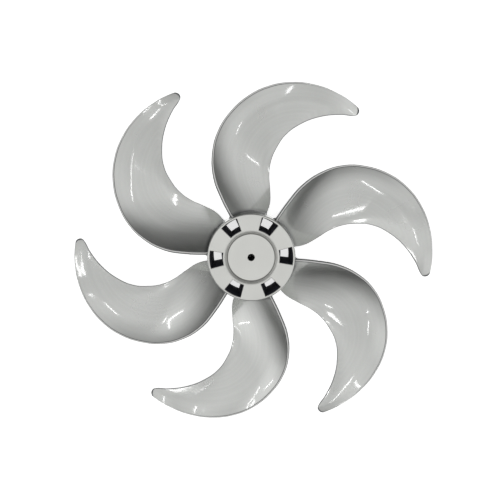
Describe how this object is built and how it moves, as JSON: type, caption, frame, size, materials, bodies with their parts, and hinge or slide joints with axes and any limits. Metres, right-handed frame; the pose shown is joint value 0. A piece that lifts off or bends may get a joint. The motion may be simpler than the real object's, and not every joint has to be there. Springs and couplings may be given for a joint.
{
  "type": "pedestal fan blade",
  "caption": "One-piece moulded axial fan blade for a pedestal fan: sickle blades twisted and cupped around a windowed hub with a shaft bore and a spinner seat.",
  "frame": {"origin": "on the spin axis, in the plane of the hub's rear rim", "axes": "+Z along the spin axis to the front, where the spinner sits and the air leaves; +X to the right and +Y up as seen from the front"},
  "size_m": [0.359, 0.342, 0.036],
  "materials": {
    "silver_plastic": "gloss silver grey"
  },
  "bodies": {
    "root": {"fan_blade": "silver_plastic"}
  },
  "joints": []
}
